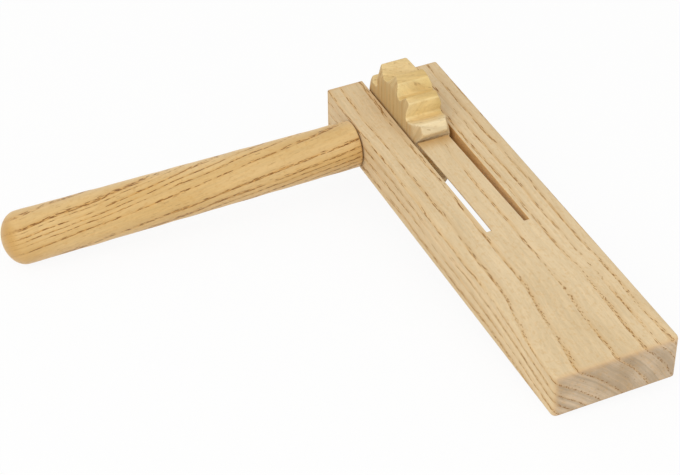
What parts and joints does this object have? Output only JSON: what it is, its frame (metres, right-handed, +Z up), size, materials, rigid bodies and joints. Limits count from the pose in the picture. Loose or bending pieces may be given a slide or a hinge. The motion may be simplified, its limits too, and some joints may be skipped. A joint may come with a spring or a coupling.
{
  "type": "ratchet noisemaker",
  "caption": "Wooden ratchet noisemaker: swung by its turned handle, a toothed wheel turns in a forked ash block and flicks a springy tongue.",
  "frame": {"origin": "centre of the flat underside of the block's solid front part", "axes": "+X across the block, away from the handle; +Y along the block, from its solid front end to the wheel; +Z up, out of the face that the tongue is flush with"},
  "size_m": [0.198, 0.1911, 0.0532],
  "materials": {
    "block_ash": "planed and sanded ash, bare",
    "tongue_ash": "sawn and sanded ash, bare",
    "handle_ash": "turned and sanded ash, bare",
    "spindle_ash": "dowel, bare",
    "wheel_ash": "sawn ash, bare"
  },
  "bodies": {
    "block": {"block": "block_ash"},
    "tongue": {"tongue": "tongue_ash"},
    "rotor": {"handle": "handle_ash", "spindle": "spindle_ash", "ratchet_wheel": "wheel_ash"}
  },
  "joints": [
    {"name": "handle_spin", "type": "hinge", "parent": "block", "child": "rotor", "pos_m": [0, 0.124, 0.0095], "axis": [1, 0, 0], "continuous": true},
    {"name": "tongue_flex", "type": "hinge", "parent": "block", "child": "tongue", "pos_m": [0, 0.0408, 0.0186], "axis": [1, 0, 0], "range_deg": [-1.5, 6], "stiffness_Nm_per_rad": 0.38}
  ]
}
